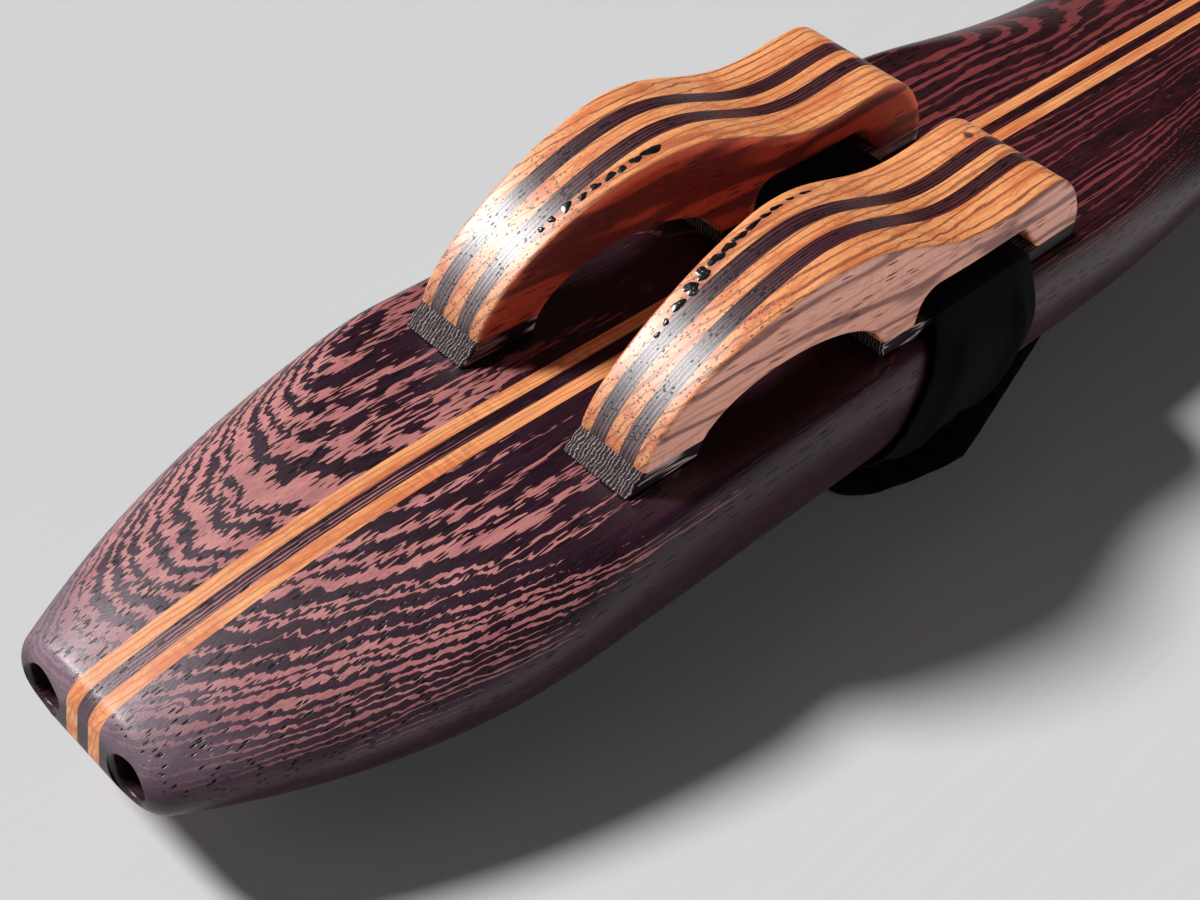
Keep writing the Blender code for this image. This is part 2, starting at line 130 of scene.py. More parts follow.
# Birds, from the toe and up from under the sole; HUMP, DIP and CREST are (along, height), KNOT is a
# brown pit on one bird, (along, aside)
BIRD_AT = 0.0759
SOLE_LEVEL = 0.0146
SOLE = 0.0032
TOE_LEAN = 0.0032
WINDOW = (0.0151, 0.0556)
WINDOW_MIDDLE = (WINDOW[0] + WINDOW[1]) / 2
WINDOW_HALF = (WINDOW[1] - WINDOW[0]) / 2
WINDOW_HEIGHT = 0.011
SLOT_AT = 0.0629
SLOT_ROOF_END = 0.0904
LEG_AT = 0.0972
SLOT_HEIGHT = 0.0101
SLOT_ROUND = 0.0035
HUMP = (0.04115, 0.0248)
DIP = (0.0792, 0.0162)
CREST = (0.0952, 0.0175)
BIRD_LENGTH = 0.1106
BIRD_POWER = 1.65
TOE_HALF = 0.00665
TAIL_HALF = 0.0114
FLARE_LENGTH = 0.078
LAMELLA_EDGES = (0.00145, 0.00435)
BIRD_EDGE = 0.0008
KNOT = (0.0944, 0.0062)

# Grid of a bird: where each stretch of its outline starts on the upper line, and its steps
STRETCH_STARTS = (TOE_LEAN, 0.0102, 0.0372, 0.0562, 0.0627, 0.0672, 0.0897, 0.0992)
STRETCH_STEPS = (16, 26, 26, 8, 10, 18, 10, 16)
ARCH_POINTS = 40
CORNER_POINTS = 12
DENSE_POINTS = 300
SOLE_POINTS = 24
SOLE_END_ROW = 0.04
SOLE_END_GAP = 0.05
EDGE_ROWS = 6
ON_LINE = 1e-7
TINY = 1e-9

# Resin: pockets as (along, aside, half length, half width) in millimetres, rim waves as (count, size)
RESIN_DEPTH = 0.00028
RESIN_RISE = 0.00042
RESIN_ROW_START = 0.0026512
RESIN_ROW_SLOPE = 0.104
RESIN_RIM = ((2, 0.17), (3, 0.13), (5, 0.06))
RESIN_ROWS = 14
RESIN_POINTS = 32
RESIN_POLE = 0.02
RESIN_POCKETS = {
    "left": ((16.6, 4.4, 0.73, 0.60), (18.6, 4.5, 0.85, 0.72), (21.3, 4.7, 1.40, 0.96),
             (24.0, 5.3, 1.10, 0.84), (26.5, 5.4, 1.22, 0.84), (29.4, 5.7, 1.46, 0.84),
             (31.6, 6.0, 1.10, 0.84), (34.4, 6.1, 1.46, 0.90), (37.7, 6.3, 2.56, 1.14)),
    "right": ((14.4, 4.1, 0.61, 0.54), (16.4, 4.4, 0.73, 0.60), (19.2, 4.9, 1.46, 1.02),
              (22.2, 5.3, 1.77, 1.38), (25.0, 5.8, 1.71, 1.38), (28.1, 6.2, 2.00, 1.00),
              (30.9, 6.4, 1.75, 0.85), (33.6, 6.6, 1.95, 0.72), (36.6, 6.8, 2.05, 0.70),
              (39.6, 7.0, 1.50, 0.58), (42.4, 7.3, 1.80, 0.60), (46.4, 7.7, 1.20, 0.46),
              (50.6, 8.0, 2.00, 0.50))}

# Strap; FOLDS are (place across, width, size)
STRAP_AT = 0.1551
STRAP_NECK = 0.0275
STRAP_WIDTH = 0.032
STRAP_THICKNESS = 0.0016
STRAP_GAP = 0.0003
STRAP_DROP = 0.012
STRAP_SLANT = 0.008
STRAP_SLANT_DROP = 0.025
STRAP_LEVEL = SOLE_LEVEL + SOLE
STRAP_EDGE_POWER = 0.35
STRAP_FACE_POWER = 0.8
STRAP_ROWS = 260
STRAP_POINTS = 96
WRAP_DIRECTIONS = 2400
SLACK_START = 0.008
SLACK_END = 0.0335
SLACK_FADE = 0.010
FOLD_HEIGHT = 0.0016
FOLDS = ((-0.52, 0.16, 0.9), (0.02, 0.20, 0.6), (0.62, 0.14, 0.8))

# Loose end of the strap; corners are (along, aside)
FLAP_TIP = (0.1305, -0.0262)
FLAP_CORNER = (0.1563, -0.0371)
FLAP_END = (0.1968, -0.0266)
FLAP_TUCK = -0.0140
FLAP_THICKNESS = 0.0012
FLAP_GAP = 0.0001
FLAP_EDGE_POWER = 0.4
FLAP_CURVE_POWER = 0.38
FLAP_NICK = 0.02
FLAP_NICK_WIDTH = 0.08
FLAP_RIPPLE = 0.25
FLAP_RIPPLE_ALONG = 900.0
FLAP_RIPPLE_ASIDE = 150.0
FLAP_FRONT_ROWS = 40
FLAP_BACK_ROWS = 30
FLAP_POINTS = 48

# Camera, fitted to the photograph, and the table
CAMERA_PLACE = (-0.365487, -0.127480, 0.211529)
CAMERA_AZIMUTH = 37.75
CAMERA_ELEVATION = 44.27
CAMERA_ROLL = math.radians(9.90)
FOCAL_PIXELS = 1746.9
IMAGE_WIDTH = 1200
SENSOR_WIDTH = 36.0
CLIP_START = 0.01
TABLE_REACH = 60.0

TO_FRAME = np.array([-LENGTH / 2, 0.0, REST_DEPTH])
MM = 1000.0
SHARP_ANGLE = math.radians(40)
ALONG = (1.0, 0.0, 0.0)
ASIDE = (0.0, 1.0, 0.0)
UPWARD = (0.0, 0.0, 1.0)
UNMOVED = (0.0, 0.0, 0.0)
PORE_CORE = 0.6
PICK_EDGE = 0.02


class Wire:
    """One value, vector or colour in a material, with arithmetic that adds Math nodes."""

    def __init__(self, tree, socket=None):
        self.tree = tree
        self.socket = socket

    def node(self, kind, settings=None, inputs=None, output=0):
        """Add a node, set it up, fill or link its sockets, and return one of its outputs."""
        made = self.tree.nodes.new(f"ShaderNode{kind}")
        for name, value in (settings or {}).items():
            setattr(made, name, value)
        for key, value in (inputs or {}).items():
            if isinstance(value, Wire):
                value.feed(made, key)
            else:
                made.inputs[key].default_value = value
        return Wire(self.tree, made.outputs[output])

    def feed(self, node, key):
        """Link this to a node's input."""
        self.tree.links.new(self.socket, node.inputs[key])

    def math(self, operation, *others):
        """A Math node on this value and others."""
        return self.node("Math", {"operation": operation}, dict(enumerate((self, *others))))

    def __add__(self, other):
        return self.math("ADD", other)

    __radd__ = __add__

    def __sub__(self, other):
        return self.math("SUBTRACT", other)

    def __rsub__(self, other):
        return self.math("MULTIPLY_ADD", -1.0, other)

    def __mul__(self, other):
        return self.math("MULTIPLY", other)

    __rmul__ = __mul__

    def __abs__(self):
        return self.math("ABSOLUTE")

    def between(self, low, high):
        """Ease from 0 at low to 1 at high."""
        return self.node("MapRange", {"interpolation_type": "SMOOTHSTEP"},
                         {"Value": self, "From Min": low, "From Max": high})

    def stretched(self, scales, shift=UNMOVED):
        """A vector times three scales, plus a shift."""
        return self.node("VectorMath", {"operation": "MULTIPLY_ADD"}, {0: self, 1: scales, 2: shift})

    def along(self, direction):
        """A vector's length along a direction."""
        return self.node("VectorMath", {"operation": "DOT_PRODUCT"}, {0: self, 1: direction}, "Value")

    def noise(self, scales, shift=UNMOVED, detail=1.0):
        """Smooth noise of about -1 to 1 on a stretched vector."""
        inputs = {"Vector": self.stretched(scales, shift), "Scale": 1.0, "Detail": detail}
        return self.node("TexNoise", None, inputs) * 2.0 - 1.0

    def ripple(self, rate, shift=0.0):
        """Smooth noise of about -1 to 1 along one value."""
        inputs = {"W": self * rate + shift, "Scale": 1.0, "Detail": 1.0}
        return self.node("TexNoise", {"noise_dimensions": "1D"}, inputs) * 2.0 - 1.0

    def pores(self, scales, radius, share, shift=UNMOVED):
        """Short pits, one in a share of stretched cells: 1 inside a pit, 0 outside."""
        cells = {"Vector": self.stretched(scales, shift), "Scale": 1.0, "Randomness": 1.0}
        near = self.node("TexVoronoi", None, cells, "Distance")
        pick = self.node("SeparateColor", None, {0: self.node("TexVoronoi", None, cells, "Color")})
        inside = 1.0 - near.between(PORE_CORE * radius, radius)
        return inside * pick.between(1.0 - share, 1.0 - share + PICK_EDGE)

    def mixed(self, first, second):
        """A colour between two, by this value."""
        return self.node("Mix", {"data_type": "RGBA"}, {0: self, 6: first, 7: second}, 2)

    def shaded(self, amount):
        """A colour times a value."""
        return self.node("VectorMath", {"operation": "SCALE"}, {0: self, "Scale": amount})


def colour(red, green, blue):
    """An opaque colour, for a socket."""
    return (red, green, blue, 1.0)


def material(name, **constants):
    """A new Principled material, its shader, and its place on the flute in millimetres."""
    made = bpy.data.materials.new(name)
    made.use_nodes = True
    shader = made.node_tree.nodes["Principled BSDF"]
    for socket, value in constants.items():
        shader.inputs[socket.replace("_", " ")].default_value = value
    point = Wire(made.node_tree).node("TexCoord", output="Object")
    shift = tuple(float(value) for value in -TO_FRAME * MM)
    return made, shader, point.stretched((MM, MM, MM), shift)


def finish(shader, base, roughness, height, depth, strength):
    """Feed the shader what varies over a surface: colour, roughness, and a bump of a depth."""
    bump = base.node("Bump", None, {"Height": height, "Distance": depth, "Strength": strength})
    base.feed(shader, "Base Color")
    roughness.feed(shader, "Roughness")
    bump.feed(shader, "Normal")


BODY_SATIN = {"Coat_Weight": 0.05, "Coat_IOR": 1.6, "Coat_Roughness": 0.30}
BIRD_SATIN = {"Coat_IOR": 2.5, "Coat_Roughness": 0.48}
POLISHED_FRONT = (25.0, 11.0)
OIL_COAT = 0.07
STRIPE_GLOSS = 0.85
PLANK_GLOSS = 0.56


def from_toe(run):
    """Millimetres behind the birds' toes, from millimetres behind the mouth end."""
    return run - BIRD_AT * MM


def polish(shader, run, gloss, grain, pits):
    """Oil finish of a bird, handled to a higher polish on its round front: a coat weight along X, up to
    gloss, that the grain varies and the pits break."""
    handled = from_toe(run).between(*POLISHED_FRONT) * gloss + OIL_COAT
    weight = handled * (grain * 0.5 + 0.95) * (1.0 - pits * 0.85)
    weight.feed(shader, "Coat Weight")


WENGE_DARK = colour(0.037, 0.0100, 0.0230)
WENGE_DEEP = colour(0.010, 0.0034, 0.0068)
WENGE_BROWN = colour(0.050, 0.0105, 0.0130)
WENGE_PALE = colour(0.62, 0.255, 0.240)
WENGE_ROSE = colour(0.44, 0.152, 0.160)
WENGE_RED = colour(0.20, 0.040, 0.044)
# Painted sheen: a grey-violet tone laid on the dark wood's top near the mouth end, in place of reflected
# light
WENGE_SHEEN_VEIL = colour(0.30, 0.21, 0.27)
PORE_BLACK = colour(0.004, 0.003, 0.004)

# Where the dark wood's figure, its painted shade and its painted sheen change, in millimetres from the mouth
# end: none of it, all of it
SIDE_RISES = (25.0, 80.0)
TEETH_SHORTEN = (60.0, 120.0)
LAYERS_LEAN = (105.0, 165.0)
PALE_THINS = (44.0, 84.0)
PALE_RETURNS = (140.0, 200.0)
# Painted shade under the birds: the pale layers are cut back where the birds shade the body
NEST_SHADE_IN = (86.0, 98.0)
NEST_SHADE_OUT = (165.0, 135.0)
STROKES_GROW = (40.0, 75.0)
PALE_REDDENS = (50.0, 115.0)
DARK_BROWNS = (95.0, 170.0)
LIP_DIMS = (18.0, 3.0)
# Painted sheen on the top, growing towards the mouth end: near the lip and along the nose
LIP_SHEEN_VEIL = (20.0, 1.0)
NOSE_SHEEN_VEIL = (60.0, 10.0)
# The same, up from the bore axis
SIDE_PLAIN = (8.0, 0.8)
SIDE_LIFT = 6.0
# How high on the top the painted sheen starts, from none of it to all of it
TOP_SHEEN_VEIL = (0.5, 5.0)


def wenge(name, lay, period, balance=0.0, wave=1.0, teeth=0.34, cluster=1.7, contrast=0.94, sheen_veil=0.0,
          start=0.0, on_bird=False, shift=UNMOVED):
    """Dark wood in thin layers: a sine of the depth along lay, warped by noise, cut by the surface.

    lay gives the layers' depth for each millimetre along X, Y and Z; period is a layer's thickness,
    balance the share of pale layers, which falls towards the belly, cluster how much they gather,
    and contrast how pale they are. Noise drawn out along X frays the layers' edges. In the body the
    pale layers thin out towards the birds and break into strokes there, are cut back under the birds
    as painted shade, and behind the birds they lean over and redden. bloom paints a grey veil of
    sheen on the top towards the mouth end, in the base colour.
    """
    made, shader, point = material(name, Specular_IOR_Level=0.4, **(BIRD_SATIN if on_bird else BODY_SATIN))
    run = point.along(ALONG)
    height = point.along(UPWARD)
    belly = (height - run.between(*SIDE_RISES) * SIDE_LIFT).between(*SIDE_PLAIN)
    swell = point.noise((0.014, 0.060, 0.060), shift) * (0.9 * wave)
    sway = point.noise((0.060, 0.26, 0.26), shift) * (0.45 * wave)
    notch = point.noise((0.28, 1.9, 1.9), shift, 0.0) + point.noise((0.5, 4.6, 4.6), shift, 0.0) * 0.25
    tooth = notch * (1.0 - belly * 0.7) * (1.0 - run.between(*TEETH_SHORTEN) * 0.75) * teeth
    depth = point.along(lay) + swell + sway + tooth + start
    fade = balance
    stroke = 0.15
    if not on_bird:
        depth = depth + run.between(*LAYERS_LEAN) * point.along(ASIDE) * 0.22
        fade = balance - run.between(*PALE_THINS) * 0.70 + run.between(*PALE_RETURNS) * 0.30
        # Painted shade: fewer pale layers under the birds, where they shade the body
        fade = fade - run.between(*NEST_SHADE_IN) * run.between(*NEST_SHADE_OUT) * 0.45
        stroke = run.between(*STROKES_GROW) * 0.75 + stroke
    band = (depth * (math.tau / period) + depth.ripple(0.55, shift[0]) * 3.4).math("SINE")
    gathered = depth.ripple(0.33, shift[1] + 5.0) * cluster
    patch = point.noise((0.05, 0.30, 0.30), shift)
    fibre = point.noise((0.10, 5.0, 5.0), shift, 2.0)
    share = band + gathered + patch * 0.4 + fibre * stroke - belly * 0.7 + fade
    pale = share.between(0.14, 0.36)
    pores = point.pores((0.22, 2.1, 2.1), 0.42, 0.36, shift)
    pink = (patch + fibre * 0.5).between(-0.6, 0.6).mixed(WENGE_ROSE, WENGE_PALE)
    pink = run.between(*PALE_REDDENS).mixed(pink, WENGE_RED)
    dark = run.between(*DARK_BROWNS).mixed(WENGE_DARK, WENGE_BROWN)
    base = (fibre * 0.6 + patch * 0.5 + 0.5).mixed(WENGE_DEEP, dark)
    cover = pale * (1.0 - belly * 0.92) * (1.0 - run.between(*LIP_DIMS) * 0.35) * contrast
    base = cover.mixed(base, pink).shaded(fibre * 0.35 + 1.0)
    if on_bird:
        polish(shader, run, STRIPE_GLOSS, pale * 0.8 + fibre - 0.4, pores)
    # Painted sheen: a grey veil laid on the top towards the mouth end, in the base colour
    if sheen_veil:
        veil = run.between(*LIP_SHEEN_VEIL) * 0.50 + run.between(*NOSE_SHEEN_VEIL) * 0.15
        veil = veil * height.between(*TOP_SHEEN_VEIL) * (fibre * 0.35 + patch * 0.3 + 1.0) * sheen_veil
        base = veil.mixed(base, WENGE_SHEEN_VEIL)
    base = pores.mixed(base, PORE_BLACK)
    roughness = pale * 0.05 + fibre * 0.05 + (0.43 if on_bird else 0.35)
    finish(shader, base, roughness, fibre * 0.20 + pale * 0.1 - pores * 1.2, 0.00025, 0.40)
    return made


SOLE_GREY = colour(0.012, 0.008, 0.010)
SOLE_PALE = colour(0.44, 0.32, 0.33)
SOLE_LINE = 0.60


def end_grain(name, shift):
    """End grain of the dark soles: upright wavy pale lines, a sine across the sole warped by noise."""
    made, shader, point = material(name, Specular_IOR_Level=0.25)
    wander = point.noise((0.03, 0.7, 0.9), shift) * 0.50 + point.noise((0.05, 1.9, 2.4), shift) * 0.20
    lines = ((point.along(ASIDE) + wander) * (math.tau / SOLE_LINE)).math("SINE")
    grit = point.noise((0.25, 4.5, 4.5), shift, 2.0)
    pale = (lines + grit * 0.5).between(0.35, 0.95)
    base = (pale * 0.85).mixed(SOLE_GREY, SOLE_PALE).shaded(grit * 0.5 + 1.0)
    finish(shader, base, grit * 0.08 + 0.5, pale + grit * 0.5, 0.0002, 0.7)
    return made


ORANGE_BRIGHT = colour(0.95, 0.405, 0.158)
ORANGE_DEEP = colour(0.68, 0.172, 0.054)
ORANGE_LINE = colour(0.200, 0.038, 0.020)
ORANGE_VEIN = colour(0.085, 0.018, 0.026)
# Upright plank faces: the outer ones paler pink, partly the wood's own tone and partly painted bounce light
# and table reflection; the inner ones deep red, painted shade with warm bounce light
OUTER_FLANK_PAINTED_LIGHT = colour(0.72, 0.355, 0.272)
INNER_FLANK_PAINTED_SHADE = colour(0.68, 0.125, 0.066)
RESIN_STAIN = colour(0.42, 0.085, 0.055)
ORANGE_PORE = colour(0.075, 0.016, 0.012)

# Where the orange wood's finish changes: millimetres behind the toe, or from a row's or knot's middle
PORES_OPEN = (36.0, 20.0)
STAIN_STARTS = (10.0, 16.0)
STAIN_ENDS = (59.0, 47.0)
STAIN_NARROWS = (1.0, 0.35)
KNOT_RIM = (1.25, 0.65)
# How far an upright face's normal points aside, and the share of a vein's width in its core
UPRIGHT = (0.45, 0.9)
VEIN_CORE = 0.4


def resin_stain(point, run, fibre, side):
    """Cover of the stain by the resin pockets of one side's bird: a narrow frayed band on their row."""
    aside = PIPE_OFFSET * MM - side * point.along(ASIDE)
    along = from_toe(run)
    away = abs(aside - along * RESIN_ROW_SLOPE - RESIN_ROW_START * MM + fibre * 0.6)
    return away.between(*STAIN_NARROWS) * along.between(*STAIN_STARTS) * along.between(*STAIN_ENDS)


def orange_wood(name, lay, period, lines=0.7, veins=0.0, vein_width=0.14, flank=None, stain_side=0, knot=None,
                on_bird=True, shift=UNMOVED):
    """Orange wood: broad tone changes, thin dark growth lines on warped layers, cross ripple and pores.

    flank gives the upright faces a colour that is partly the wood's own and partly painted light and
    shade, longer pores, no polish, and wavy dark bands drawn out along X, as strong as veins and as
    wide as vein_width. stain_side reddens a narrow row by the resin pockets of the bird on that side,
    and knot is the place of a small brown pit, in millimetres.
    """
    made, shader, point = material(name, Specular_IOR_Level=0.5, **(BIRD_SATIN if on_bird else BODY_SATIN))
    run = point.along(ALONG)
    depth = (point.along(lay) + point.noise((0.022, 0.10, 0.10), shift) * 1.5
             + point.noise((0.11, 0.6, 0.6), shift) * 0.45)
    tone = point.noise((0.035, 0.45, 0.45), shift, 2.0)
    fibre = point.noise((0.14, 5.5, 5.5), shift, 3.0)
    growth = (depth * (math.tau / period) + depth.ripple(0.7, shift[1]) * 3.2).math("SINE")
    line = (growth + fibre * 0.8 + tone * 0.5).between(0.50, 1.05) * lines
    patch = point.noise((0.05, 0.2, 0.2), shift)
    ripple = point.noise((1.5, 0.30, 0.30), shift) * patch.between(-0.1, 0.5)
    open_pores = from_toe(run).between(*PORES_OPEN) * 0.7 + 0.12 if on_bird else 0.06
    pits = point.pores((0.55, 2.6, 2.6), 0.42, 0.42, shift) * open_pores
    base = (tone + fibre * 0.5).between(-0.55, 0.40).mixed(ORANGE_DEEP, ORANGE_BRIGHT)
    gloss = PLANK_GLOSS
    if flank:
        normal = point.node("TexCoord", output="Normal")
        upright = abs(normal.along(ASIDE)).between(*UPRIGHT)
        # The upright faces take the flank colour: painted light and shade on them, with the wood's own tone
        base = (upright * 0.95).mixed(base, flank)
        dash = point.pores((0.18, 1.5, 1.5), 0.38, 0.36, shift) * (patch.between(-0.6, 0.2) * 0.9)
        pits = pits + (dash - pits) * upright
        line = line * (1.0 - upright * 0.55)
        gloss = gloss - upright * gloss
        wander = point.noise((0.016, 0.05, 0.13), shift) + point.noise((0.06, 0.1, 0.3), shift) * 0.2
        vein = abs(wander).between(vein_width, VEIN_CORE * vein_width) * upright * veins
        base = (vein * (fibre * 0.4 + 0.9)).mixed(base, ORANGE_VEIN)
    base = line.mixed(base, ORANGE_LINE).shaded(fibre * 0.26 + ripple * 0.4 + 1.0)
    if stain_side:
        base = (resin_stain(point, run, fibre, stain_side) * 0.55).mixed(base, RESIN_STAIN)
    if knot:
        level = point.stretched((1.0, 1.0, 0.0))
        away = point.node("VectorMath", {"operation": "DISTANCE"}, {0: level, 1: knot}, "Value")
        base = ((away + fibre * 0.5).between(*KNOT_RIM) * 0.9).mixed(base, ORANGE_VEIN)
    base = pits.mixed(base, ORANGE_PORE)
    if on_bird:
        polish(shader, run, gloss, fibre, pits)
    finish(shader, base, fibre * 0.05 + line * 0.05 + 0.48, fibre * 0.2 - pits - line * 0.3, 0.0002, 0.35)
    return made


RESIN_BLACK = colour(0.002, 0.003, 0.003)
RESIN_GREY = colour(0.014, 0.015, 0.017)
TABLE_GREY = colour(0.640, 0.648, 0.664)
TABLE_PALE = colour(0.660, 0.668, 0.684)
STRAP_LIGHTNESS = 0.0055
FLAP_LIGHTNESS = 0.0050


def black_resin():
    """Black resin, poured and polished: a faint bubble pattern and a hard gloss."""
    made, shader, point = material("black_resin", Specular_IOR_Level=0.4, Coat_Weight=0.12,
                                   Coat_Roughness=0.16)
    bubble = point.pores((1.4, 1.6, 1.6), 0.4, 0.5)
    cloud = point.noise((0.8, 0.9, 0.9), detail=2.0)
    base = cloud.between(-0.4, 0.6).mixed(RESIN_BLACK, RESIN_GREY)
    finish(shader, base, bubble * 0.10 + 0.24, cloud * 0.8 + bubble * 0.6, 0.0003, 0.25)
    return made


def black_suede(name, level):
    """Soft black fabric of a lightness: a fine nap, faint lengthwise creases and no gloss."""
    made, shader, point = material(name, Specular_IOR_Level=0.06, Sheen_Weight=0.02, Sheen_Roughness=0.5)
    nap = point.noise((2.6, 2.6, 2.6), detail=3.0)
    crease = point.noise((0.28, 0.05, 0.05), detail=2.0)
    low = colour(0.4 * level, 0.4 * level, 0.5 * level)
    high = colour(level, level, 1.2 * level)
    base = (nap * 0.6 + crease * 0.8).between(-0.8, 0.8).mixed(low, high)
    finish(shader, base, nap * 0.05 + 0.90, nap * 0.3 + crease, 0.0006, 0.5)
    return made


def table_top():
    """Pale painted table: a cool light grey with a faint brushed grain."""
    made, shader, point = material("table_top", Specular_IOR_Level=0.1)
    brush = point.noise((0.03, 0.9, 0.9), detail=2.0)
    base = brush.between(-0.9, 0.9).mixed(TABLE_GREY, TABLE_PALE)
    finish(shader, base, brush * 0.02 + 0.80, brush, 0.0002, 0.05)
    return made


def smooth(share):
    """Ease from 0 to 1 with level ends."""
    share = np.clip(share, 0.0, 1.0)
    return share * share * (3.0 - 2.0 * share)


def full_turn(count):
    """Angles of a full turn at even steps."""
    return np.linspace(0.0, math.tau, count, endpoint=False)


def signed_power(value, power):
    """A power that keeps the sign."""
    return np.sign(value) * np.abs(value) ** power


def new_mesh(name, points, faces):
    """A mesh of the flute's axes set in the frame, faces turned outwards, smooth but for sharp edges."""
    mesh = bpy.data.meshes.new(name)
    mesh.from_pydata((points.reshape(-1, 3) + TO_FRAME).tolist(), [], faces)
    bm = bmesh.new()
    bm.from_mesh(mesh)
    bmesh.ops.recalc_face_normals(bm, faces=bm.faces)
    bm.to_mesh(mesh)
    bm.free()
    mesh.shade_smooth()
    mesh.set_sharp_from_angle(angle=SHARP_ANGLE)
    return mesh


def add_object(name, data):
    """A linked object at the origin."""
    made = bpy.data.objects.new(name, data)
    bpy.context.scene.collection.objects.link(made)
    return made


def add_piece(name, mesh, look, body, nodes=()):
    """A piece of the flute that rides on a body and may stand for solids of the frame."""
    made = add_object(name, mesh)
    mesh.materials.append(look)
    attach(made, body)
    if nodes:
        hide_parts(*nodes)
    return made


def ring_faces(count, around, closed):
    """Quads between rings of points: each point, its neighbour, and the same two on the next ring."""
    rows = np.arange(count if closed else count - 1)[:, None]
    spots = np.arange(around)[None, :]
    ahead = (rows + 1) % count
    beside = (spots + 1) % around
    quads = np.stack([rows * around + spots, rows * around + beside,
                      ahead * around + beside, ahead * around + spots], -1)
    return quads.reshape(-1, 4).tolist()


def loft(name, rings, closed=False):
    """A solid through a stack of rings, with flat ends or joined end to end."""
    count, around = rings.shape[:2]
    faces = ring_faces(count, around, closed)
    if not closed:
        faces.append(list(range(around)))
        faces.append(list(range((count - 1) * around, count * around)))
    return new_mesh(name, rings, faces)


def body_stations():
    """Stations along the body with the inset of each: quarter rounds at the ends, close rows on the nose."""
    turn = np.linspace(0.0, math.pi / 2, ROUND_ROWS)
    ease_in = 1.0 - np.cos(turn)
    ease_out = 1.0 - np.sin(turn)
    waist_end = WAIST_START + WAIST_LENGTH
    middle = np.concatenate([np.linspace(MOUTH_ROUND, BIRD_AT, NOSE_ROWS)[1:],
                             np.linspace(BIRD_AT, WAIST_START, NEST_ROWS)[1:],
                             np.linspace(WAIST_START, waist_end, WAIST_ROWS)[1:],
                             np.linspace(waist_end, LENGTH - FOOT_ROUND, BARREL_ROWS)[1:-1]])
    stations = np.concatenate([MOUTH_ROUND * ease_in, middle, LENGTH - FOOT_ROUND * ease_in[::-1]])
    insets = np.concatenate([MOUTH_ROUND * ease_out, 0.0 * middle, FOOT_ROUND * ease_out[::-1]])
    return stations[:, None], insets[:, None]


def body_sizes(x, inset):
    """Half width, top, depth, half flat and widest level at x: power curves on the nose and keel,
    eased steps for the nest under the birds and for the waist behind them."""
    nose = np.clip(1.0 - x / NOSE_LENGTH, 0.0, 1.0) ** NOSE_POWER
    keel = np.clip(1.0 - x / KEEL_LENGTH, 0.0, 1.0) ** KEEL_POWER
    nest = smooth((x - BIRD_AT + NEST_RISE) / NEST_RISE)
    waist = smooth((x - WAIST_START) / WAIST_LENGTH)
    half = NEST_HALF - (NEST_HALF - MOUTH_HALF) * nose - (NEST_HALF - BARREL_HALF) * waist - inset
    top = TOP - (TOP - MOUTH_TOP) * nose - inset
    depth = BELLY_DEPTH - (BELLY_DEPTH - MOUTH_DEPTH) * keel + (REST_DEPTH - BELLY_DEPTH) * waist - inset
    flat = STRIP_FLAT + (NEST_FLAT - STRIP_FLAT) * nest * (1.0 - waist) - inset
    widest = WIDEST_START + (WIDEST_RISE - WIDEST_START) * smooth(x / BIRD_AT)
    return half, top, depth, np.maximum(flat, STRIPS_HALF + WIDEST_START), widest


def points_at(x, y, z):
    """Points from arrays of coordinates."""
    return np.stack(np.broadcast_arrays(x, y, z), -1)


def leaned(x, y, z):
    """Points of a section, with the mouth end leaning back towards its upper edge."""
    lean = END_LEAN * (z + MOUTH_DEPTH) * np.clip(1.0 - x / NOSE_LENGTH, 0.0, 1.0)
    return points_at(x + lean, y, z)


def axis_turn(widest, depth):
    """The angle at which the side's superellipse, from the widest level down, crosses the bore axis."""
    return np.arcsin((widest / (widest + depth)) ** (BELLY_POWER / 2))


def upper_section(x, inset):
    """Outline of the left upper half: flat top, elliptic shoulder, then the side down to the bore axis."""
    half, top, depth, flat, widest = body_sizes(x, inset)
    across = np.linspace(0.0, 1.0, TOP_POINTS)
    turn = np.linspace(math.pi / 2, 0.0, SHOULDER_POINTS)[1:]
    side = axis_turn(widest, depth) * np.linspace(0.0, 1.0, SIDE_POINTS)[1:]
    y = np.concatenate([STRIPS_HALF + (flat - STRIPS_HALF) * across,
                        flat + (half - flat) * np.cos(turn),
                        BELLY_FLAT_HALF + (half - BELLY_FLAT_HALF) * np.cos(side) ** (2 / BELLY_POWER)], 1)
    z = np.concatenate([top + 0.0 * across,
                        widest + (top - widest) * np.sin(turn),
                        widest - (widest + depth) * np.sin(side) ** (2 / BELLY_POWER)], 1)
    return y, z


def lower_section(x, inset):
    """Outline of the left lower half: superellipse from the bore axis to the flat belly."""
    half, _, depth, _, widest = body_sizes(x, inset)
    start = axis_turn(widest, depth)
    turn = start + (math.pi / 2 - start) * np.linspace(0.0, 1.0, BELLY_POINTS)
    belly_half = BELLY_FLAT_HALF - inset
    across = np.linspace(1.0, 0.0, BELLY_FLAT_POINTS)[1:]
    y = np.concatenate([belly_half + (half - belly_half) * np.abs(np.cos(turn)) ** (2 / BELLY_POWER),
                        STRIPS_HALF + (belly_half - STRIPS_HALF) * across], 1)
    z = np.concatenate([widest - (widest + depth) * np.sin(turn) ** (2 / BELLY_POWER),
                        -depth + 0.0 * across], 1)
    return y, z


def block_rings(sign, section):
    """Rings of one block half: the outline, closed along the bore axis and the strips."""
    x, inset = body_stations()
    y, z = section(x, inset)
    corner = np.full_like(x, STRIPS_HALF)
    y = np.concatenate([y, corner], 1)
    z = np.concatenate([z, 0.0 * corner], 1)
    return leaned(x, sign * y, z)


